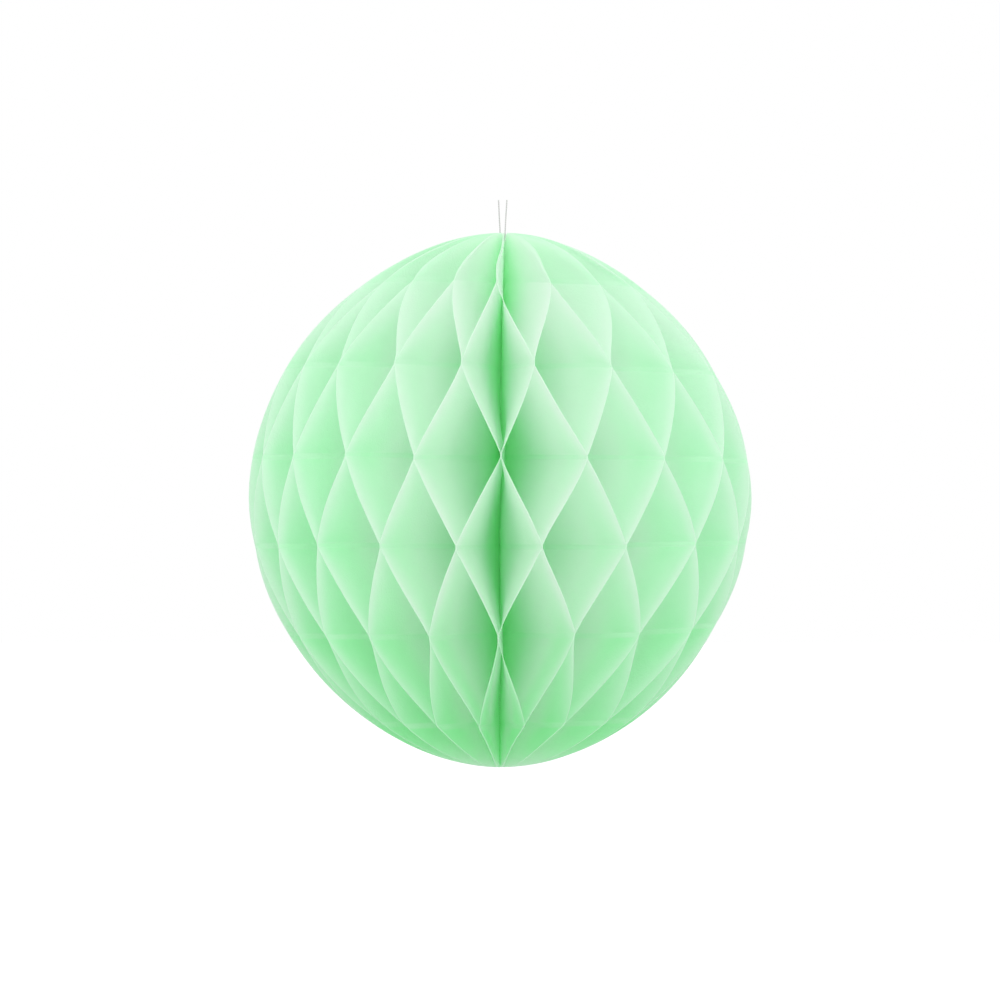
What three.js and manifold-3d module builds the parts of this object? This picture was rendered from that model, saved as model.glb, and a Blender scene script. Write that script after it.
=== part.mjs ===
// Honeycomb paper ball: half-disc leaves of tissue paper, glued to each other in staggered rows,
// fanned right round a thread spine and closed card to card at the back. A thread hangs it up.
// Millimetres, +Z up. The origin is the hanging point at the top of the spine, and -Y is the front.

import * as THREE from 'three';
import Module from 'manifold-3d';
import { mergeVertices } from 'three/addons/utils/BufferGeometryUtils.js';

const wasm = await Module();
wasm.setup();

// The opened ball
const BALL_RADIUS = 100.4;
const BALL_HEIGHT = 213.6;
const OUTLINE_POWER = 1.88; // 2 would be an ellipse, and less is more pointed at the poles

// The tissue leaves: an even number, so that the staggered rows close round the ball
const LEAF_COUNT = 38;
const LEAF_THICKNESS = 0.25;
const LEAF_GAP = 0.25; // between two leaves along a glued stripe
const LEAF_INNER_RADIUS = 3.2; // from the axis to a leaf's straight edge
const TIP_WIDTH = 2.5; // what is left of a leaf's width at its two tips
const GATHER = 0.141; // unevenness of the fan: leaves stand wider on the right than on the left

// The glue rows, counted from the middle of the ball: -2.5, -1.5 and so on up to 2.5
const ROW_COUNT = 6;
const ROW_PITCH = 35.2;
const GLUE_WIDTH = 4.6;
const ROW_DROP = 0.7; // the rows sit this far below the ball's middle
const DRAW_IN = 0.04; // share of its height by which a row draws in at the rim

// The closing seam
const CARD_THICKNESS = 0.5;
const CARD_INNER_RADIUS = 8; // also for the two leaves beside the cards
const PAD_RADIUS = 6;
const PAD_THICKNESS = 0.3;
const PAD_INSET = 16; // from the rim to a pad's middle
const PAD_HEIGHTS = [-62, 0, 62];
const SEAM_GAP = 0.15; // between leaf, card and pad

// The threads
const THREAD_DIAMETER = 0.5;
const SPINE_DIAMETER = 0.7;
const SPINE_FOOT = 3; // from the bottom pole up to the spine's lower end
const EYE_DEPTH = 7.2; // from the hanging point down to the middle of the spine's eye
const EYE_RADIUS = 1.1;

// The hanging thread's route, from tip to tip through the eye
const HANGING_ROUTE = [
  [-0.56, 0, 13.2],
  [-0.47, 0, 11],
  [-0.37, 0, 8.5],
  [-0.25, 0, 6],
  [-0.12, 0, 3.5],
  [0, 0, 1.2],
  [-0.02, 0, -0.8],
  [-0.3, 0, -2.8],
  [-0.68, 0, -4.6],
  [-0.9, 0, -6.2],
  [-0.61, 0, -6.91],
  [0.1, 0, -7.2],
  [0.81, 0, -6.91],
  [1.1, 0, -6.2],
  [1.32, 0, -4.6],
  [1.7, 0, -2.8],
  [1.98, 0, -0.8],
  [2.08, 0, 1.2],
  [2.2, 0, 3.5],
  [2.33, 0, 6],
  [2.47, 0, 8.5],
  [2.62, 0, 11],
  [2.76, 0, 13.2],
];

// How finely the curves are cut into flats
const LEAF_STEPS = 2; // from a leaf's straight edge to its rim
const BAND_STEPS = 3; // between two glue rows
const TIP_STEPS = 4; // from the last glue row to a tip
const CARD_STEPS = 10; // along each half of a card's rim
const ROUND_SIDES = 16;
const THREAD_SIDES = 8;
const THREAD_STEPS = 36;

// Worked out from the above
const HALF_HEIGHT = BALL_HEIGHT / 2;
const LEAF_STEP = (2 * Math.PI) / LEAF_COUNT;
const LAST_ROW = (ROW_COUNT - 1) / 2;
const HALF_GLUE = GLUE_WIDTH / 2 / ROW_PITCH;
const PAIR_OFFSET = (LEAF_THICKNESS + LEAF_GAP) / 2;
const CARD_OFFSET = PAD_THICKNESS / 2 + SEAM_GAP;
const SEAM_OFFSET = CARD_OFFSET + CARD_THICKNESS + SEAM_GAP + LEAF_THICKNESS / 2;
const { clamp, lerp } = THREE.MathUtils;

const tissue = new THREE.MeshStandardMaterial({ color: 0xb4efc3, roughness: 0.9, metalness: 0 });
const card = new THREE.MeshStandardMaterial({ color: 0xa2e2b2, roughness: 0.8, metalness: 0 });
const adhesive = new THREE.MeshStandardMaterial({ color: 0xeeeee6, roughness: 0.6, metalness: 0 });
const thread = new THREE.MeshStandardMaterial({ color: 0xe4e4e2, roughness: 0.9, metalness: 0 });

function named(name, geometry, material) {
  const mesh = new THREE.Mesh(geometry, material);
  mesh.name = name;
  return mesh;
}

// Azimuth, from the front towards the right, of a turn along the evenly counted fan.
function fan(turn) {
  return turn + GATHER * (1 - Math.cos(turn));
}

// The turn that faces a local +X axis, as the angle of a piece about the ball's axis.
function facing(turn) {
  return fan(turn) - Math.PI / 2;
}

// The ball's outline, as a radius at a height from its middle and the other way round.
function rimRadius(height) {
  const share = Math.min(Math.abs(height / HALF_HEIGHT), 1);
  return BALL_RADIUS * (1 - share ** OUTLINE_POWER) ** (1 / OUTLINE_POWER);
}

function rimHeight(radius) {
  return HALF_HEIGHT * (1 - (radius / BALL_RADIUS) ** OUTLINE_POWER) ** (1 / OUTLINE_POWER);
}

// Height of a row line, which draws in towards the rim, and most where the leaves stand wide.
function rowHeight(row, radius, turn) {
  const drawn = DRAW_IN * (1 + Math.sin(turn)) * (radius / BALL_RADIUS) ** 2;
  return row * ROW_PITCH * (1 - drawn) - ROW_DROP;
}

// Radius at which a row line meets the ball's outline.
function leafRim(row, turn) {
  let radius = 0;
  for (let pass = 0; pass < 20; pass += 1) {
    radius = rimRadius(rowHeight(row, radius, turn));
  }
  return radius;
}

// Where a leaf stands in its own cell: 0 is against the leaf before it, 1 against the next one.
function sway(leaf, row) {
  const place = clamp(row + LAST_ROW, 0, ROW_COUNT - 1);
  const below = Math.min(Math.floor(place), ROW_COUNT - 2);
  const across = clamp((place - below - HALF_GLUE) / (1 - 2 * HALF_GLUE), 0, 1);
  return (leaf + below) % 2 === 1 ? 1 - across : across;
}

// The rows at which a leaf is cut into flats, from its lower tip to its upper one.
function leafRows(innerRadius) {
  const tip = rimHeight(innerRadius + TIP_WIDTH);
  const lowest = (ROW_DROP - tip) / ROW_PITCH;
  const highest = (ROW_DROP + tip) / ROW_PITCH;
  const rows = [];
  for (let step = TIP_STEPS; step > 0; step -= 1) {
    const ease = Math.sin(((Math.PI / 2) * step) / TIP_STEPS);
    rows.push(lerp(-LAST_ROW - HALF_GLUE, lowest, ease));
  }
  for (let row = -LAST_ROW; row <= LAST_ROW; row += 1) {
    rows.push(row - HALF_GLUE);
    rows.push(row + HALF_GLUE);
    for (let step = 1; step < BAND_STEPS && row < LAST_ROW; step += 1) {
      rows.push(lerp(row + HALF_GLUE, row + 1 - HALF_GLUE, step / BAND_STEPS));
    }
  }
  for (let step = 1; step <= TIP_STEPS; step += 1) {
    const ease = Math.sin(((Math.PI / 2) * step) / TIP_STEPS);
    rows.push(lerp(LAST_ROW + HALF_GLUE, highest, ease));
  }
  return rows;
}

// A flat box, cut up along its length and height, with the same diagonals on its two broad faces,
// so that it keeps one thickness when it is bent.
function makeSheet(lengthSteps, heightSteps) {
  const geometry = new THREE.BoxGeometry(1, 1, 1, lengthSteps, 1, heightSteps);
  const { start, count } = geometry.groups[3];
  for (let i = start; i < start + count; i += 6) {
    const [a, b, d, , c] = geometry.index.array.slice(i, i + 6);
    geometry.index.array.set([a, b, c, a, c, d], i);
  }
  return geometry;
}

// One leaf: a sheet whose length runs out from the spine, bent from side to side by its glue rows.
function makeLeaf(leaf) {
  const first = leaf === 0;
  const last = leaf === LEAF_COUNT - 1;
  const innerRadius = first || last ? CARD_INNER_RADIUS : LEAF_INNER_RADIUS;
  const offsetBefore = first ? SEAM_OFFSET : PAIR_OFFSET;
  const offsetAfter = last ? -SEAM_OFFSET : -PAIR_OFFSET;
  const middle = (leaf + 0.5 - LEAF_COUNT / 2) * LEAF_STEP;
  const rows = leafRows(innerRadius);
  const geometry = makeSheet(LEAF_STEPS, rows.length - 1);
  const corners = geometry.attributes.position;
  for (let i = 0; i < corners.count; i += 1) {
    const row = rows[Math.round((corners.getZ(i) + 0.5) * (rows.length - 1))];
    const swayed = sway(leaf, row);
    const turn = middle + (swayed - 0.5) * LEAF_STEP;
    const bend = fan(turn) - fan(middle);
    const radius = lerp(innerRadius, leafRim(row, turn), corners.getX(i) + 0.5);
    const aside = lerp(offsetBefore, offsetAfter, swayed) + corners.getY(i) * LEAF_THICKNESS;
    corners.setXYZ(
      i,
      radius * Math.cos(bend) - aside * Math.sin(bend),
      radius * Math.sin(bend) + aside * Math.cos(bend),
      rowHeight(row, radius, turn),
    );
  }
  geometry.computeVertexNormals();
  const mesh = named(`leaf_${String(leaf + 1).padStart(2, '0')}`, geometry, tissue);
  mesh.rotation.z = facing(middle);
  return mesh;
}

// A stiff half-disc card, flat in the seam's plane, with its near face at the given offset.
function makeCard(name, offset) {
  const tip = rimHeight(CARD_INNER_RADIUS + TIP_WIDTH);
  const outline = [new THREE.Vector2(CARD_INNER_RADIUS, -tip)];
  for (let step = -CARD_STEPS; step <= CARD_STEPS; step += 1) {
    const height = tip * Math.sin(((Math.PI / 2) * step) / CARD_STEPS);
    outline.push(new THREE.Vector2(rimRadius(height), height));
  }
  outline.push(new THREE.Vector2(CARD_INNER_RADIUS, tip));
  const shape = new THREE.Shape(outline);
  const geometry = new THREE.ExtrudeGeometry(shape, { depth: CARD_THICKNESS, bevelEnabled: false });
  geometry.rotateX(Math.PI / 2);
  const mesh = named(name, geometry, card);
  mesh.position.y = offset + CARD_THICKNESS;
  return mesh;
}

// A round dot of double-sided adhesive between the two cards.
function makePad(name, height) {
  const geometry = new THREE.CylinderGeometry(PAD_RADIUS, PAD_RADIUS, PAD_THICKNESS, ROUND_SIDES);
  const mesh = named(name, geometry, adhesive);
  mesh.position.set(rimRadius(height) - PAD_INSET, 0, height);
  return mesh;
}

function makeSeam() {
  const seam = new THREE.Group();
  seam.rotation.z = facing(Math.PI);
  seam.add(makeCard('end_card_first', CARD_OFFSET));
  seam.add(makeCard('end_card_last', -CARD_OFFSET - CARD_THICKNESS));
  PAD_HEIGHTS.forEach((height, index) => {
    seam.add(makePad(`closing_pad_${index + 1}`, height));
  });
  return seam;
}

function toSolid(geometry) {
  const bare = geometry.clone();
  bare.deleteAttribute('normal');
  bare.deleteAttribute('uv');
  const merged = mergeVertices(bare);
  return new wasm.Manifold(new wasm.Mesh({
    numProp: 3,
    vertProperties: new Float32Array(merged.attributes.position.array),
    triVerts: new Uint32Array(merged.index.array),
  }));
}

function toGeometry(solid) {
  const mesh = solid.getMesh();
  const geometry = new THREE.BufferGeometry();
  geometry.setAttribute('position', new THREE.BufferAttribute(mesh.vertProperties, 3));
  geometry.setIndex(new THREE.BufferAttribute(mesh.triVerts, 1));
  geometry.computeVertexNormals();
  return geometry;
}

// The thread that the leaves' straight edges are gathered round, with an eye at its upper end.
function makeSpine() {
  const top = -EYE_DEPTH - EYE_RADIUS;
  const bottom = -BALL_HEIGHT + SPINE_FOOT;
  const radius = SPINE_DIAMETER / 2;
  const stem = new THREE.CylinderGeometry(radius, radius, top - bottom, THREAD_SIDES);
  stem.rotateX(Math.PI / 2);
  stem.translate(0, 0, (top + bottom) / 2);
  const eye = new THREE.TorusGeometry(EYE_RADIUS, radius, THREAD_SIDES, ROUND_SIDES);
  eye.rotateY(Math.PI / 2);
  eye.translate(0, 0, -EYE_DEPTH);
  return named('spine_thread', toGeometry(toSolid(stem).add(toSolid(eye))), thread);
}

function makeHangingThread() {
  const route = new THREE.CatmullRomCurve3(HANGING_ROUTE.map((point) => new THREE.Vector3(...point)));
  const section = new THREE.Shape().absarc(0, 0, THREAD_DIAMETER / 2, 0, 2 * Math.PI);
  const geometry = new THREE.ExtrudeGeometry(section, {
    steps: THREAD_STEPS,
    curveSegments: THREAD_SIDES,
    extrudePath: route,
    bevelEnabled: false,
  });
  return named('hanging_thread', geometry, thread);
}

const paper = new THREE.Group();
paper.position.z = -HALF_HEIGHT;
for (let leaf = 0; leaf < LEAF_COUNT; leaf += 1) {
  paper.add(makeLeaf(leaf));
}
paper.add(makeSeam());

const ball = new THREE.Group();
ball.add(paper);
ball.add(makeSpine());
ball.add(makeHangingThread());

export default ball;
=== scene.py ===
"""Honeycomb paper ball: tissue leaves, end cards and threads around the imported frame, in a white studio."""

import math

import bpy
import numpy as np
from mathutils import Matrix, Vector, noise


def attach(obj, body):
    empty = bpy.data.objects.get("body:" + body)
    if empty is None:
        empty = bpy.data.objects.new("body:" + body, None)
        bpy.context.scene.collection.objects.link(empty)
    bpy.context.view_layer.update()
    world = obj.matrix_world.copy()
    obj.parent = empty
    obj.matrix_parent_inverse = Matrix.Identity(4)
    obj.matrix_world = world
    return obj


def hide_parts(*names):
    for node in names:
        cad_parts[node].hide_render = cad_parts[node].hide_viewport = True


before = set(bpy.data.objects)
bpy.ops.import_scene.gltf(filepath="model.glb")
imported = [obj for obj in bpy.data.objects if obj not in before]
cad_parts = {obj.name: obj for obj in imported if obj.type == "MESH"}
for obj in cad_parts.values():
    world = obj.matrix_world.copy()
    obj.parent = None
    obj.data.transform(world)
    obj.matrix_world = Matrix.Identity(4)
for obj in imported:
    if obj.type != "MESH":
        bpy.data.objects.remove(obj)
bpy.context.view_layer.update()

# Lengths are in metres. The hanging point is the origin, +Z is up and -Y is the front.
MM = 0.001

# The opened ball, as in the construction. A row is a level of glue stripes, and a turn is an even fan angle.
BALL_RADIUS = 100.4 * MM
BALL_HEIGHT = 213.6 * MM
OUTLINE_POWER = 1.88
LEAF_COUNT = 38
GATHER = 0.141
ROW_COUNT = 6
ROW_PITCH = 35.2 * MM
ROW_DROP = 0.7 * MM
DRAW_IN = 0.04
TIP_WIDTH = 2.5 * MM

# The tissue leaves: their cut edge, their gathering at the axis and the fineness of their meshes
LEAF_THICKNESS = 0.12 * MM
PAIR_GAP = 0.08 * MM
LEAF_INNER_RADIUS = 1.2 * MM
CORE_WAVE = 0.12
CORE_WAVE_LENGTH = 80 * MM
CORE_WAVE_REACH = 28 * MM
THREAD_ROOM = 1.6 * MM
THREAD_ROOM_DEPTH = 14 * MM
PINCH_HEIGHT = 1.6 * MM
CORNER_ROUNDING = 0.08
RADIAL_STEPS = 24
BAND_STEPS = 20
TIP_STEPS = 20
RIM_ROUNDS = 20
LEAF_SHARP_ANGLE = math.radians(60)

# How the glued nodes and the free tips of the leaves stand off their even places
UPPER_SPREAD = 0.016
ROW_SHIFTS = [0, 0.5 * MM, 0.3 * MM, 0, 1.2 * MM, -1.8 * MM]
NODE_TURN_SPREAD = 0.008
NODE_HEIGHT_SPREAD = 0.4 * MM
TOP_LEAN = 1.8 * MM
LEAN_REACH = 40 * MM
TIP_CURL = 0.9 * MM
TIP_CURL_DEPTH = 7 * MM
FRONT_TIP_CURL = 0.35 * MM
FRONT_NODE_TURN = -0.027
TIP_WAVE = -0.5 * MM
TIP_PARTING = 0.3 * MM
FOOT_CURL_SHARE = 0.3
FOOT_DRAW = 0.55
FOOT_DRAW_REACH = 0.45
FOOT_BAND_LAG = 1.4
TOP_BAND_LAG = 1.25
SPREAD_SEED = 27871

# Soft waves of the whole sheet, and crinkles near its glue stripes, with their scales in waves per metre
WAVE_SCALE = 34
WAVE_HEIGHT = 0.55 * MM
CRINKLE_SCALES = 90, 90, 210
CRINKLE_PLACE = 7, 3, 1
CRINKLE_HEIGHT = 0.28 * MM
CRINKLE_REACH = 7 * MM

# Tissue colours from its cut rim inwards, with painted light and shade: a paler cut edge with a painted
# highlight, a painted light band inside the rim, painted light and shade deep in the cells, painted light
# near the axis, a painted lighter top, painted shade towards the foot and a painted pale sheen seen edge on
# Paler cut edge of the tissue, with a painted highlight along it
CUT_EDGE_AND_HIGHLIGHT_TONE = (0.85, 0.988, 0.89)
# Painted light: a pale band just inside the rim, where the light from the front falls into the cells
PAINTED_LIGHT_BAND_TONE = (0.77, 0.983, 0.825)
GLUE_TONE = (0.82, 0.982, 0.865)
OUTER_TONES = (0.65, 0.968, 0.73), (0.69, 0.973, 0.76)
# Painted light: a paler top, lit from above
PAINTED_LIGHT_TOP_TONE = (0.775, 0.948, 0.82)
# Painted shade: a deeper green towards the foot, where the white light does not reach
PAINTED_SHADE_FOOT_TONE = (0.60, 0.968, 0.68)
# Painted light and shade deep in the cells: paler and a little darker than the outer tone
PAINTED_DEPTH_SHADING_TONE = (0.893, 0.967, 0.915)
# Painted light near the axis: a brighter green for the light that reaches the core through the tissue
PAINTED_CORE_LIGHT_TONE = (0.875, 0.992, 0.905)
# Painted sheen: a near-white tone on walls seen edge on
PAINTED_SHEEN_TONE = (0.97, 0.99, 0.975)
GLUE_PALENESS = 0.9
RIM_LINE = 0.5 * MM
PAINTED_LIGHT_BAND_WIDTH = 6 * MM
UPPER_FROM = 120 * MM
UPPER_TO = 200 * MM
LOWER_FROM = 120 * MM
LOWER_TO = 10 * MM
DEEP_FROM = 10 * MM
DEEP_TO = 32 * MM
CORE_FROM = 45 * MM
CORE_TO = 5 * MM
SHEEN_FROM = 65 * MM
SHEEN_TO = 30 * MM
SHEEN_FOOT = 80 * MM
EDGE_ON_FROM = 0.3
EDGE_ON_TO = 0.8
GLUE_FROM = 1.5 * MM
GLUE_TO = 0.6 * MM

# The face of the tissue, with scales in marks per metre, and the share of light that goes through it
TISSUE_CLOUDS = 60
TISSUE_FIBRES = 1400
CLOUD_SPAN = 0.3, 0.7
WRINKLES = 95.0
WRINKLE_FROM = 14 * MM
WRINKLE_TO = 1 * MM
FIBRE_SHARE = 0.35
TISSUE_RELIEF = 0.5 * MM
TISSUE_RELIEF_STRENGTH = 0.6
TISSUE_ROUGHNESS = 0.85
TISSUE_GLOSS = 0.2
THROUGH_SHARE = 0.5

# The closing seam: two end cards and the adhesive dots between them
CARD_THICKNESS = 0.5 * MM
CARD_OFFSET = 0.3 * MM
CARD_INNER_RADIUS = 8 * MM
CARD_STEPS = 90
CARD_WIDTH_STEPS = 5
CARD_SHARP_ANGLE = math.radians(40)
CARD_TONES = (0.42, 0.78, 0.52), (0.48, 0.84, 0.58)
CARD_CLOUDS = 90
CARD_FIBRES = 2200
CARD_RELIEF = 0.1 * MM
CARD_RELIEF_STRENGTH = 0.2
CARD_ROUGHNESS = 0.75
CARD_GLOSS = 0.3
SEAM_GAP = 0.15 * MM
PAD_COUNT = 3
PAD_TONES = (0.76, 0.76, 0.72), (0.85, 0.85, 0.80)
PAD_CLOUDS = 3000.0
PAD_RELIEF = 0.05 * MM
PAD_RELIEF_STRENGTH = 0.3
PAD_ROUGHNESS = 0.5

# The camera stands level with the middle of the ball. Lamp powers are in watts.
CAMERA_DISTANCE = 1.5
CAMERA_LENS = 135
CAMERA_REACH = 20
FLOOR_DROP = 0.18
FLOOR_HALF_SIDE = 6.0
FLOOR_COLOUR = (0.7, 0.7, 0.7, 1)
FLOOR_LIFT = 0.5
LIGHT_BOUNCES = 64
TOP_PLACE = -0.5, -0.7, 1.1
TOP_SIZE = 1.2
TOP_POWER = 1
FRONT_PLACE = 0.1, -1.7, 0.35
FRONT_SIZE = 1.4
FRONT_POWER = 8

HALF_HEIGHT = BALL_HEIGHT / 2
LEAF_STEP = 2 * math.pi / LEAF_COUNT
LAST_ROW = (ROW_COUNT - 1) / 2
HALF_PINCH = PINCH_HEIGHT / 2 / ROW_PITCH
PAIR_OFFSET = (LEAF_THICKNESS + PAIR_GAP) / 2
SEAM_OFFSET = CARD_OFFSET + CARD_THICKNESS + SEAM_GAP + LEAF_THICKNESS / 2

# The hanging thread, from one end down through the eye of the spine thread and up again, in millimetres
HANGING_ROUTE = [
    (-0.56, 0, 13.2),
    (-0.47, 0, 11),
    (-0.37, 0, 8.5),
    (-0.25, 0, 6),
    (-0.12, 0, 3.5),
    (0, 0, 1.2),
    (-0.02, 0, -0.8),
    (-0.3, 0, -2.8),
    (-0.68, 0, -4.6),
    (-0.9, 0, -6.2),
    (-0.61, 0, -6.91),
    (0.1, 0, -7.2),
    (0.81, 0, -6.91),
    (1.1, 0, -6.2),
    (1.32, 0, -4.6),
    (1.7, 0, -2.8),
    (1.98, 0, -0.8),
    (2.08, 0, 1.2),
    (2.2, 0, 3.5),
    (2.33, 0, 6),
    (2.47, 0, 8.5),
    (2.62, 0, 11),
    (2.76, 0, 13.2),
]
THREAD_DIAMETER = 0.5 * MM
THREAD_ROUNDNESS = 3
STRANDS_PER_METRE = 700.0
STRAND_UNEVENNESS = 1.5
STRAND_GROOVE_SHADE = 0.72
STRAND_RELIEF = 0.08 * MM
STRAND_RELIEF_STRENGTH = 0.6
THREAD_ROUGHNESS = 0.9
HANGING_TONE = 0.66, 0.64, 0.645
SPINE_TONE = 0.5, 0.92, 0.56

draw = np.random.default_rng(SPREAD_SEED)


# Materials

def start_material(name):
    """An empty material and its node tree."""
    material = bpy.data.materials.new(name)
    material.use_nodes = True
    material.node_tree.nodes.clear()
    return material, material.node_tree


def add_node(tree, kind, **values):
    """A node with some of its own settings and socket values, by name."""
    made = tree.nodes.new(kind)
    for name, value in values.items():
        if hasattr(made, name):
            setattr(made, name, value)
        else:
            made.inputs[name.replace("_", " ")].default_value = value
    return made


def add_ramp(tree, places, tones):
    """A blend from the first tone to the second between two places."""
    ramp = add_node(tree, "ShaderNodeValToRGB")
    for stop, place, tone in zip(ramp.color_ramp.elements, places, tones):
        stop.position = place
        stop.color = (*tone, 1)
    return ramp


def paper_fibre_group():
    """Cloudy formation and fine fibres of paper, for tissue and card."""
    tree = bpy.data.node_groups.new("paper_fibre", "ShaderNodeTree")
    tree.interface.new_socket("Cloud Scale", in_out="INPUT", socket_type="NodeSocketFloat")
    tree.interface.new_socket("Fibre Scale", in_out="INPUT", socket_type="NodeSocketFloat")
    tree.interface.new_socket("Cloud", in_out="OUTPUT", socket_type="NodeSocketFloat")
    tree.interface.new_socket("Fibre", in_out="OUTPUT", socket_type="NodeSocketFloat")
    inside = tree.nodes.new("NodeGroupInput")
    outside = tree.nodes.new("NodeGroupOutput")
    place = tree.nodes.new("ShaderNodeTexCoord")
    cloud = add_node(tree, "ShaderNodeTexNoise", Detail=1.0, Roughness=0.62)
    fibre = add_node(tree, "ShaderNodeTexNoise", Detail=1.0, Roughness=0.7)
    for texture, scale, out in ((cloud, "Cloud Scale", "Cloud"), (fibre, "Fibre Scale", "Fibre")):
        tree.links.new(place.outputs["Object"], texture.inputs["Vector"])
        tree.links.new(inside.outputs[scale], texture.inputs["Scale"])
        tree.links.new(texture.outputs["Fac"], outside.inputs[out])
    return tree


def tissue_material(fibre_group):
    """Thin mint tissue that light goes through, paler along its glue stripes, with painted light and shade: a
    paler cut edge with a painted highlight, a painted light band along its rim, painted light and shade deep
    in the cells, painted light near the axis, a painted lighter top, painted shade towards the foot and a
    painted sheen seen edge on.
    """
    material, tree = start_material("mint_tissue")
    link = tree.links.new
    fibre = tree.nodes.new("ShaderNodeGroup")
    fibre.node_tree = fibre_group
    fibre.inputs["Cloud Scale"].default_value = TISSUE_CLOUDS
    fibre.inputs["Fibre Scale"].default_value = TISSUE_FIBRES
    tone = add_ramp(tree, CLOUD_SPAN, OUTER_TONES)
    link(fibre.outputs["Cloud"], tone.inputs["Fac"])

    def mask_by(label, start, end):
        """Zero to one as a stored distance goes from start to end."""
        distance = add_node(tree, "ShaderNodeAttribute", attribute_name=label)
        mask = add_node(tree, "ShaderNodeMapRange", From_Min=start, From_Max=end)
        mask.interpolation_type = "SMOOTHSTEP"
        link(distance.outputs["Fac"], mask.inputs["Value"])
        return mask.outputs["Result"]

    def times(first, second):
        product = add_node(tree, "ShaderNodeMath", operation="MULTIPLY")
        for value, place in zip((first, second), product.inputs):
            if isinstance(value, float):
                place.default_value = value
            else:
                link(value, place)
        return product.outputs["Value"]

    def blend(base, colour, mask):
        mixed = add_node(tree, "ShaderNodeMix", data_type="RGBA")
        link(mask, mixed.inputs[0])
        link(base, mixed.inputs[6])
        mixed.inputs[7].default_value = (*colour, 1)
        return mixed.outputs[2]

    # Layer Weight facing, for the painted sheen on walls seen edge on
    angle = add_node(tree, "ShaderNodeLayerWeight", Blend=0.5)
    edge_on = add_node(tree, "ShaderNodeMapRange", From_Min=EDGE_ON_FROM, From_Max=EDGE_ON_TO)
    link(angle.outputs["Facing"], edge_on.inputs["Value"])
    glue = times(mask_by("from_glue", GLUE_FROM, GLUE_TO), fibre.outputs["Cloud"])
    # Painted light: the top is paler
    colour = blend(tone.outputs["Color"], PAINTED_LIGHT_TOP_TONE, mask_by("from_foot", UPPER_FROM, UPPER_TO))
    # Painted shade: deeper green towards the foot
    colour = blend(colour, PAINTED_SHADE_FOOT_TONE, mask_by("from_foot", LOWER_FROM, LOWER_TO))
    # Painted light and shade deep in the cells
    colour = blend(colour, PAINTED_DEPTH_SHADING_TONE, mask_by("from_rim", DEEP_FROM, DEEP_TO))
    # Painted light near the axis
    colour = blend(colour, PAINTED_CORE_LIGHT_TONE, mask_by("from_axis", CORE_FROM, CORE_TO))
    colour = blend(colour, GLUE_TONE, times(glue, GLUE_PALENESS))
    # Painted light fades out towards the foot: the light band and sheen below stop there
    painted_light_above_foot = mask_by("from_foot", LOWER_TO, SHEEN_FOOT)
    # Painted light band just inside the rim
    colour = blend(colour, PAINTED_LIGHT_BAND_TONE, times(mask_by("from_rim", PAINTED_LIGHT_BAND_WIDTH, 0), painted_light_above_foot))
    # Painted sheen on walls seen edge on, near the rim
    sheen = times(mask_by("from_rim", SHEEN_FROM, SHEEN_TO), edge_on.outputs["Result"])
    colour = blend(colour, PAINTED_SHEEN_TONE, times(sheen, painted_light_above_foot))
    # Paler cut edge with a painted highlight along the rim
    colour = blend(colour, CUT_EDGE_AND_HIGHLIGHT_TONE, mask_by("from_rim", RIM_LINE, 0))

    place = tree.nodes.new("ShaderNodeTexCoord")
    wrinkle = add_node(tree, "ShaderNodeTexNoise", noise_type="RIDGED_MULTIFRACTAL", Detail=1.0)
    wrinkle.inputs["Scale"].default_value = WRINKLES
    link(place.outputs["Object"], wrinkle.inputs["Vector"])
    gathered = times(wrinkle.outputs["Fac"], mask_by("from_glue", WRINKLE_FROM, WRINKLE_TO))
    height = add_node(tree, "ShaderNodeMath", operation="MULTIPLY_ADD")
    link(fibre.outputs["Fibre"], height.inputs[0])
    height.inputs[1].default_value = FIBRE_SHARE
    link(gathered, height.inputs[2])
    bump = add_node(tree, "ShaderNodeBump", Strength=TISSUE_RELIEF_STRENGTH, Distance=TISSUE_RELIEF)
    link(height.outputs["Value"], bump.inputs["Height"])
    front = add_node(tree, "ShaderNodeBsdfPrincipled", Roughness=TISSUE_ROUGHNESS)
    front.inputs["Specular IOR Level"].default_value = TISSUE_GLOSS
    through = add_node(tree, "ShaderNodeBsdfTranslucent")
    for shader, socket in ((front, "Base Color"), (through, "Color")):
        link(colour, shader.inputs[socket])
        link(bump.outputs["Normal"], shader.inputs["Normal"])
    mixed = add_node(tree, "ShaderNodeMixShader")
    mixed.inputs[0].default_value = THROUGH_SHARE
    link(front.outputs["BSDF"], mixed.inputs[1])
    link(through.outputs["BSDF"], mixed.inputs[2])
    out = tree.nodes.new("ShaderNodeOutputMaterial")
    link(mixed.outputs["Shader"], out.inputs["Surface"])
    return material


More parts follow.
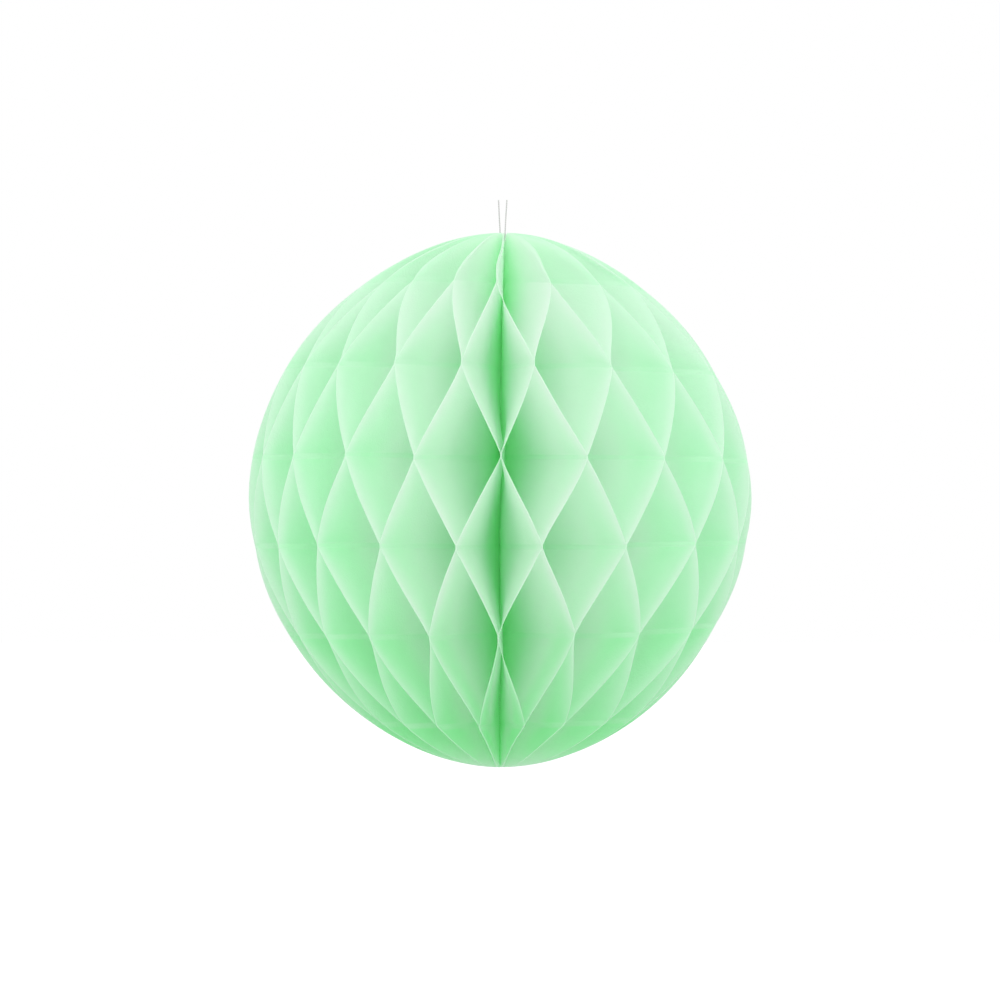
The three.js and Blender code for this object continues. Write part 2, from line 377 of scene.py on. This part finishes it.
def card_material(fibre_group):
    """Matt mint card, a little darker than the tissue."""
    material, tree = start_material("mint_card")
    link = tree.links.new
    fibre = tree.nodes.new("ShaderNodeGroup")
    fibre.node_tree = fibre_group
    fibre.inputs["Cloud Scale"].default_value = CARD_CLOUDS
    fibre.inputs["Fibre Scale"].default_value = CARD_FIBRES
    tone = add_ramp(tree, CLOUD_SPAN, CARD_TONES)
    link(fibre.outputs["Cloud"], tone.inputs["Fac"])
    bump = add_node(tree, "ShaderNodeBump", Strength=CARD_RELIEF_STRENGTH, Distance=CARD_RELIEF)
    link(fibre.outputs["Fibre"], bump.inputs["Height"])
    front = add_node(tree, "ShaderNodeBsdfPrincipled", Roughness=CARD_ROUGHNESS)
    front.inputs["Specular IOR Level"].default_value = CARD_GLOSS
    link(tone.outputs["Color"], front.inputs["Base Color"])
    link(bump.outputs["Normal"], front.inputs["Normal"])
    out = tree.nodes.new("ShaderNodeOutputMaterial")
    link(front.outputs["BSDF"], out.inputs["Surface"])
    return material


def thread_material(name, colour):
    """Spun thread: slanting strands with painted shade in the darker grooves between them."""
    material, tree = start_material(name)
    link = tree.links.new
    place = tree.nodes.new("ShaderNodeTexCoord")
    strands = add_node(tree, "ShaderNodeTexWave", bands_direction="DIAGONAL", Scale=STRANDS_PER_METRE)
    strands.inputs["Distortion"].default_value = STRAND_UNEVENNESS
    link(place.outputs["Object"], strands.inputs["Vector"])
    # Painted shade in the grooves between the strands
    painted_groove_shade = [channel * STRAND_GROOVE_SHADE for channel in colour]
    tone = add_ramp(tree, (0, 1), (painted_groove_shade, colour))
    link(strands.outputs["Fac"], tone.inputs["Fac"])
    bump = add_node(tree, "ShaderNodeBump", Strength=STRAND_RELIEF_STRENGTH, Distance=STRAND_RELIEF)
    link(strands.outputs["Fac"], bump.inputs["Height"])
    front = add_node(tree, "ShaderNodeBsdfPrincipled", Roughness=THREAD_ROUGHNESS)
    link(tone.outputs["Color"], front.inputs["Base Color"])
    link(bump.outputs["Normal"], front.inputs["Normal"])
    out = tree.nodes.new("ShaderNodeOutputMaterial")
    link(front.outputs["BSDF"], out.inputs["Surface"])
    return material


def adhesive_material():
    """Soft clear-white adhesive with a cloudy face."""
    material, tree = start_material("adhesive_dot")
    link = tree.links.new
    place = tree.nodes.new("ShaderNodeTexCoord")
    cloud = add_node(tree, "ShaderNodeTexNoise", Scale=PAD_CLOUDS, Detail=4.0)
    link(place.outputs["Object"], cloud.inputs["Vector"])
    tone = add_ramp(tree, (0, 1), PAD_TONES)
    link(cloud.outputs["Fac"], tone.inputs["Fac"])
    bump = add_node(tree, "ShaderNodeBump", Strength=PAD_RELIEF_STRENGTH, Distance=PAD_RELIEF)
    link(cloud.outputs["Fac"], bump.inputs["Height"])
    front = add_node(tree, "ShaderNodeBsdfPrincipled", Roughness=PAD_ROUGHNESS)
    link(tone.outputs["Color"], front.inputs["Base Color"])
    link(bump.outputs["Normal"], front.inputs["Normal"])
    out = tree.nodes.new("ShaderNodeOutputMaterial")
    link(front.outputs["BSDF"], out.inputs["Surface"])
    return material


# The ball's lattice

def fan(turn):
    """The angle about the axis, from the front, of an even turn: the fan is wider on the viewer's right."""
    return turn + GATHER * (1 - np.cos(turn))


def rim_radius(height):
    """The ball's outline, as the rim's distance from the axis at a height from the middle."""
    share = np.minimum(np.abs(height / HALF_HEIGHT), 1)
    return BALL_RADIUS * (1 - share ** OUTLINE_POWER) ** (1 / OUTLINE_POWER)


def rim_height(radius):
    """The same outline, as the rim's height above the middle at a distance from the axis."""
    return HALF_HEIGHT * (1 - (radius / BALL_RADIUS) ** OUTLINE_POWER) ** (1 / OUTLINE_POWER)


def row_height(row, radius, turn):
    """The height of a row, drawn in towards the middle at the rim, most on the viewer's right."""
    drawn = DRAW_IN * (1 + np.sin(turn)) * (radius / BALL_RADIUS) ** 2
    return row * ROW_PITCH * (1 - drawn) - ROW_DROP


def leaf_rim(row, turn):
    """How far from the axis a row meets the outline, found by repeated tries."""
    radius = np.zeros_like(row)
    for _ in range(RIM_ROUNDS):
        radius = rim_radius(row_height(row, radius, turn))
    return radius


def leaf_rows(inner_radius):
    """The rows along a leaf's height, closer together towards its tips, and which of them are creases."""
    tip = rim_height(inner_radius + TIP_WIDTH)
    ease = np.sin(np.linspace(0, math.pi / 2, TIP_STEPS + 1))
    rows = [-LAST_ROW + ((ROW_DROP - tip) / ROW_PITCH + LAST_ROW) * ease[:0:-1]]
    creases = [np.zeros(TIP_STEPS, bool)]
    for below in np.arange(-LAST_ROW, LAST_ROW):
        rows.append([below])
        rows.append(np.linspace(below + HALF_PINCH, below + 1 - HALF_PINCH, BAND_STEPS + 1))
        creases.append([False, True])
        creases.append(np.zeros(BAND_STEPS - 1, bool))
        creases.append([True])
    rows.append([LAST_ROW])
    creases.append([False])
    rows.append(LAST_ROW + ((ROW_DROP + tip) / ROW_PITCH - LAST_ROW) * ease[1:])
    creases.append(np.zeros(TIP_STEPS, bool))
    return np.concatenate(rows), np.concatenate(creases)


def along_rows(row):
    """The glue row below each place, and how far a leaf has crossed its cell towards the row above."""
    place = np.clip(row + LAST_ROW, 0, ROW_COUNT - 1)
    below = np.minimum(np.floor(place), ROW_COUNT - 2).astype(int)
    share = np.clip((place - below - HALF_PINCH) / (1 - 2 * HALF_PINCH), 0, 1)
    rounded = share * share * (3 - 2 * share)
    across = share + CORNER_ROUNDING * (rounded - share)
    across = np.where(below == 0, 1 - (1 - across) ** FOOT_BAND_LAG, across)
    across = np.where(below == ROW_COUNT - 2, across ** TOP_BAND_LAG, across)
    return below, across


def node_spread():
    """Small shifts of each glued node in turn and height, and the curl of the tips that leave from it."""
    turns = draw.normal(0, NODE_TURN_SPREAD, (LEAF_COUNT + 1, ROW_COUNT))
    heights = draw.normal(0, NODE_HEIGHT_SPREAD, (LEAF_COUNT + 1, ROW_COUNT))
    evenly = (np.arange(LEAF_COUNT + 1) - LEAF_COUNT / 2) * LEAF_STEP
    turns += UPPER_SPREAD * np.sin(evenly)[:, None] * (np.arange(ROW_COUNT) - LAST_ROW)
    heights += np.array(ROW_SHIFTS)
    curls = draw.normal(0, TIP_CURL, (LEAF_COUNT + 1, 2))
    curls[:, 0] *= FOOT_CURL_SHARE
    curls[LEAF_COUNT // 2, 1] = FRONT_TIP_CURL
    turns[LEAF_COUNT // 2, -1] = FRONT_NODE_TURN
    for values in (turns, heights, curls):
        values[0] = 0
        values[-1] = 0
    return turns, heights, curls


def beyond_rows(row):
    """Zero up to a leaf's last glue row, and one at its tip."""
    return np.clip((np.abs(row) - LAST_ROW) / (HALF_HEIGHT / ROW_PITCH - LAST_ROW), 0, 1)


def drawn_at_foot(row, turn):
    """The turn of a leaf, less towards the foot, where the leaves of the front lean together."""
    lean = FOOT_DRAW * np.sin(math.pi / 2 * beyond_rows(row)) * np.exp(-(turn / FOOT_DRAW_REACH) ** 2)
    return np.where(row < 0, turn * (1 - lean), turn)


def tip_curl(row, leaf, end_node, curls):
    """How far a leaf's rim bends aside beyond the last glue row, except where it lies on a card."""
    beyond = beyond_rows(row)
    at_top = row > 0
    parting = np.where(end_node == leaf, TIP_PARTING, -TIP_PARTING)
    bow = (curls[end_node, np.where(at_top, 1, 0)] + parting * at_top) * np.sin(math.pi * beyond)
    wave = TIP_WAVE * np.sin(2 * math.pi * beyond) * at_top
    on_card = (end_node == 0) | (end_node == LEAF_COUNT)
    return np.where(on_card, 0, bow + wave)


def leaf_inner_radius(leaf):
    """The first and last leaf start where their cards do."""
    return CARD_INNER_RADIUS if leaf in (0, LEAF_COUNT - 1) else LEAF_INNER_RADIUS


def leaf_sheet(leaf, spread):
    """A leaf's points, how far each gives sideways, its stored distances and its creases."""
    inner = leaf_inner_radius(leaf)
    row, creases = leaf_rows(inner)
    below, across = along_rows(row)
    turns, heights, curls = spread
    steps = np.arange(ROW_COUNT)
    node = leaf + (leaf + steps) % 2
    node_turn = (node - LEAF_COUNT / 2) * LEAF_STEP + turns[node, steps]
    node_lift = heights[node, steps]
    before = SEAM_OFFSET if leaf == 0 else PAIR_OFFSET
    after = -SEAM_OFFSET if leaf == LEAF_COUNT - 1 else -PAIR_OFFSET
    node_aside = np.where(node == leaf, before, after)

    def between(values):
        return (values[below] + (values[below + 1] - values[below]) * across)[:, None]

    turn, lift, aside = between(node_turn), between(node_lift), between(node_aside)
    row = row[:, None]
    turn = drawn_at_foot(row, turn)
    rim = leaf_rim(row, turn)
    near_top = np.clip((row * ROW_PITCH - HALF_HEIGHT) / THREAD_ROOM_DEPTH + 1, 0, 1)
    start = inner + THREAD_ROOM * near_top
    radius = start + (rim - start) * np.linspace(0, 1, RADIAL_STEPS + 1)
    height = row_height(row, radius, turn) + lift * radius / BALL_RADIUS
    curl = tip_curl(row, leaf, np.where(row > 0, node[-1], node[0]), curls)
    aside = aside + curl * np.clip(1 - (rim - radius) / TIP_CURL_DEPTH, 0, 1) ** 2
    at_front = (1 + np.cos(turn)) / 2
    level = 1 - np.minimum((height / HALF_HEIGHT) ** 2, 1)
    core_wave = CORE_WAVE * np.sin(2 * math.pi * height / CORE_WAVE_LENGTH)
    angle = fan(turn) + core_wave * at_front * level * np.exp(-(radius / CORE_WAVE_REACH) ** 2)
    radial = np.stack([np.sin(angle), -np.cos(angle), np.zeros_like(angle)], -1)
    tangent = np.stack([np.cos(angle), np.sin(angle), np.zeros_like(angle)], -1)
    points = radial * radius[..., None] + tangent * aside[..., None]
    points[..., 2] += height - HALF_HEIGHT
    upwards = np.clip(height / HALF_HEIGHT, 0, 1)
    points[..., 0] += TOP_LEAN * at_front * upwards ** 2 * np.exp(-(radius / LEAN_REACH) ** 2)
    nearest_row = np.round(np.clip(row + LAST_ROW, 0, ROW_COUNT - 1)) - LAST_ROW
    distances = {
        "from_rim": rim - radius,
        "from_axis": radius,
        "from_foot": height + HALF_HEIGHT,
        "from_glue": np.broadcast_to(np.abs(row - nearest_row) * ROW_PITCH, radius.shape),
    }
    off_card = np.clip((math.pi - np.abs(turn)) / LEAF_STEP, 0, 1)
    return points, tangent * off_card[..., None], distances, creases


def crumple(points, give, from_glue):
    """Soft waves and fine crinkles of thin paper, the same for two leaves at one place and none on a card."""
    moved = points.copy().reshape(-1, 3)
    aside = give.reshape(-1, 3)
    near = np.exp(-(from_glue.reshape(-1) / CRINKLE_REACH) ** 2)
    for i, point in enumerate(moved):
        place = Vector(point)
        fine_place = Vector([part * scale for part, scale in zip(place, CRINKLE_SCALES)])
        wave = noise.noise(place * WAVE_SCALE) * WAVE_HEIGHT
        crinkle = noise.noise(fine_place + Vector(CRINKLE_PLACE)) * CRINKLE_HEIGHT
        moved[i] += aside[i] * (wave + crinkle * near[i])
    return moved.reshape(points.shape)


def grid_faces(rows, columns):
    """Four-cornered faces over a grid of points that is stored row by row."""
    index = np.arange(rows * columns).reshape(rows, columns)
    corners = [index[:-1, :-1], index[:-1, 1:], index[1:, 1:], index[1:, :-1]]
    return np.stack(corners, -1).reshape(-1, 4)


def grid_normals(points):
    """The direction across the sheet at each point of a grid."""
    normal = np.cross(np.gradient(points, axis=1), np.gradient(points, axis=0))
    return normal / np.linalg.norm(normal, axis=-1, keepdims=True)


def finish_mesh(name, points, faces, sharp_angle):
    """A smooth mesh with sharp edges from an angle on."""
    mesh = bpy.data.meshes.new(name)
    mesh.from_pydata(points, [], faces.tolist())
    mesh.shade_smooth()
    mesh.set_sharp_from_angle(angle=sharp_angle)
    return mesh


def leaf_mesh(name, points, distances, creases):
    """A single sheet of tissue with a narrow lip along its rim, for the thickness of its cut edge."""
    rows, columns = points.shape[:2]
    lip = grid_normals(points)[:, -1] * LEAF_THICKNESS / 2
    edge = points[:, -1]
    sides = np.concatenate([points.reshape(-1, 3), edge - lip, edge + lip])
    count = rows * columns
    before = count + np.arange(rows)
    after = before + rows
    strip = np.stack([before[:-1], after[:-1], after[1:], before[1:]], -1)
    faces = np.concatenate([grid_faces(rows, columns), strip])
    mesh = finish_mesh(name, sides, faces, LEAF_SHARP_ANGLE)
    ends = np.empty(2 * len(mesh.edges), int)
    mesh.edges.foreach_get("vertices", ends)
    end_rows = ends.reshape(-1, 2) // columns
    for i in np.flatnonzero(end_rows[:, 0] == end_rows[:, 1]):
        if end_rows[i, 0] < rows and creases[end_rows[i, 0]]:
            mesh.edges[i].use_edge_sharp = True
    for label, values in distances.items():
        at_edge = values[:, -1]
        attribute = mesh.attributes.new(label, "FLOAT", "POINT")
        everywhere = np.concatenate([values.reshape(-1), at_edge, at_edge])
        attribute.data.foreach_set("value", everywhere.astype(np.float32))
    return mesh


def board_mesh(name, points, thickness):
    """A closed flat board about a grid of points."""
    rows, columns = points.shape[:2]
    aside = grid_normals(points) * thickness / 2
    count = rows * columns
    index = np.arange(count).reshape(rows, columns)
    loop = np.concatenate([index[0, :-1], index[:-1, -1], index[-1, :0:-1], index[:0:-1, 0]])
    after = np.roll(loop, -1)
    border = np.stack([loop, after, after + count, loop + count], -1)
    broad = grid_faces(rows, columns)
    faces = np.concatenate([broad[:, ::-1], broad + count, border])
    both = np.concatenate([(points - aside).reshape(-1, 3), (points + aside).reshape(-1, 3)])
    return finish_mesh(name, both, faces, CARD_SHARP_ANGLE)


def add_piece(name, data, material, slot, *nodes):
    """A visible piece of the ball in place of construction nodes."""
    piece = bpy.data.objects.new(name, data)
    bpy.context.scene.collection.objects.link(piece)
    piece.data.materials.append(material)
    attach(piece, "root")
    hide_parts(*nodes)
    return piece


def make_leaves(material):
    """All the tissue leaves, each held along its straight edge by the spine thread or by a card."""
    spread = node_spread()
    for leaf in range(LEAF_COUNT):
        points, give, distances, creases = leaf_sheet(leaf, spread)
        points = crumple(points, give, distances["from_glue"])
        name = f"tissue_{leaf + 1:02d}"
        mesh = leaf_mesh(name, points, distances, creases)
        piece = add_piece(name, mesh, material, "tissue", f"leaf_{leaf + 1:02d}")


def make_card(name, near_side, material, node):
    """A stiff half-disc card in the plane of the seam."""
    tip = rim_height(CARD_INNER_RADIUS + TIP_WIDTH)
    height = tip * np.sin(np.linspace(-math.pi / 2, math.pi / 2, CARD_STEPS))
    rim = rim_radius(height)
    angle = fan(np.array(math.pi))
    radial = np.array([np.sin(angle), -np.cos(angle), 0])
    tangent = np.array([np.cos(angle), np.sin(angle), 0])
    share = np.linspace(0, 1, CARD_WIDTH_STEPS + 1)[None, :]
    radius = CARD_INNER_RADIUS + (rim - CARD_INNER_RADIUS)[:, None] * share
    middle_offset = near_side + math.copysign(CARD_THICKNESS / 2, near_side)
    points = radial * radius[..., None] + tangent * middle_offset
    points[..., 2] += height[:, None] - HALF_HEIGHT
    mesh = board_mesh(name, points, CARD_THICKNESS)
    return add_piece(name, mesh, material, "card", node)


def make_hanging_thread(material):
    """The thread as one smooth curve through its route."""
    curve = bpy.data.curves.new("hanging_thread_line", "CURVE")
    curve.dimensions = "3D"
    curve.bevel_depth = THREAD_DIAMETER / 2
    curve.bevel_resolution = THREAD_ROUNDNESS
    curve.use_fill_caps = True
    spline = curve.splines.new("BEZIER")
    route = [Vector(place) * MM for place in HANGING_ROUTE]
    spline.bezier_points.add(len(route) - 1)
    for knot, place in zip(spline.bezier_points, route):
        knot.co = place
        knot.handle_left_type = "AUTO"
        knot.handle_right_type = "AUTO"
    piece = add_piece("hanging_thread_line", curve, material, "thread", "hanging_thread")


# The studio

def add_camera():
    """A level camera in front of the ball."""
    data = bpy.data.cameras.new("camera")
    data.lens = CAMERA_LENS
    data.clip_end = CAMERA_REACH
    camera = bpy.data.objects.new("camera", data)
    camera.location = (0, -CAMERA_DISTANCE, -HALF_HEIGHT)
    camera.rotation_euler = (math.pi / 2, 0, 0)
    bpy.context.scene.collection.objects.link(camera)
    bpy.context.scene.camera = camera


def add_lamp(name, place, size, power, aim):
    """A square soft lamp that faces a point."""
    data = bpy.data.lights.new(name, "AREA")
    data.size = size
    data.energy = power
    lamp = bpy.data.objects.new(name, data)
    lamp.location = place
    lamp.rotation_euler = (Vector(aim) - Vector(place)).to_track_quat("-Z", "Y").to_euler()
    bpy.context.scene.collection.objects.link(lamp)


def seen_directly(tree):
    """One for what the camera or a gloss shows of the floor, otherwise zero, so that it adds no light."""
    rays = tree.nodes.new("ShaderNodeLightPath")
    either = add_node(tree, "ShaderNodeMath", operation="MAXIMUM")
    tree.links.new(rays.outputs["Is Camera Ray"], either.inputs[0])
    tree.links.new(rays.outputs["Is Glossy Ray"], either.inputs[1])
    return either.outputs["Value"]


def add_world():
    """An even white room, which is also the background."""
    world = bpy.data.worlds.new("studio")
    bpy.context.scene.world = world
    world.use_nodes = True
    tree = world.node_tree
    tree.nodes.clear()
    white = add_node(tree, "ShaderNodeBackground", Strength=1.0)
    white.inputs["Color"].default_value = (1, 1, 1, 1)
    out = tree.nodes.new("ShaderNodeOutputWorld")
    tree.links.new(white.outputs[0], out.inputs["Surface"])


def add_floor():
    """A pale floor well below the hanging ball, which the camera sees as white."""
    material, tree = start_material("studio_floor")
    matt = add_node(tree, "ShaderNodeBsdfDiffuse")
    matt.inputs["Color"].default_value = FLOOR_COLOUR
    lift = add_node(tree, "ShaderNodeEmission")
    scaled = add_node(tree, "ShaderNodeMath", operation="MULTIPLY")
    scaled.inputs[1].default_value = FLOOR_LIFT
    both = tree.nodes.new("ShaderNodeAddShader")
    out = tree.nodes.new("ShaderNodeOutputMaterial")
    tree.links.new(seen_directly(tree), scaled.inputs[0])
    tree.links.new(scaled.outputs[0], lift.inputs["Strength"])
    tree.links.new(matt.outputs[0], both.inputs[0])
    tree.links.new(lift.outputs[0], both.inputs[1])
    tree.links.new(both.outputs[0], out.inputs["Surface"])
    mesh = bpy.data.meshes.new("floor")
    side = FLOOR_HALF_SIDE
    level = -BALL_HEIGHT - FLOOR_DROP
    corners = [(-side, -side, level), (side, -side, level), (side, side, level), (-side, side, level)]
    mesh.from_pydata(corners, [], [(0, 1, 2, 3)])
    floor = bpy.data.objects.new("floor", mesh)
    floor.data.materials.append(material)
    bpy.context.scene.collection.objects.link(floor)


def give_material(node, material):
    """A construction node that is shown as it is, in its own finish."""
    node.data.materials.clear()
    node.data.materials.append(material)


# The ball, and then the room around it

bpy.context.scene.view_settings.view_transform = "Standard"
bpy.context.scene.cycles.max_bounces = LIGHT_BOUNCES
bpy.context.scene.cycles.diffuse_bounces = LIGHT_BOUNCES
bpy.context.scene.cycles.transmission_bounces = LIGHT_BOUNCES
add_camera()
make_hanging_thread(thread_material("white_thread", HANGING_TONE))
fibre_group = paper_fibre_group()
make_leaves(tissue_material(fibre_group))
card = card_material(fibre_group)
make_card("card_first", CARD_OFFSET, card, "end_card_first")
make_card("card_last", -CARD_OFFSET, card, "end_card_last")
adhesive = adhesive_material()
for number in range(1, PAD_COUNT + 1):
    give_material(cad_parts[f"closing_pad_{number}"], adhesive)
give_material(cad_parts["spine_thread"], thread_material("mint_thread", SPINE_TONE))
middle = (0, 0, -HALF_HEIGHT)
add_world()
add_lamp("top_softbox", TOP_PLACE, TOP_SIZE, TOP_POWER, middle)
add_lamp("front_softbox", FRONT_PLACE, FRONT_SIZE, FRONT_POWER, middle)
add_floor()
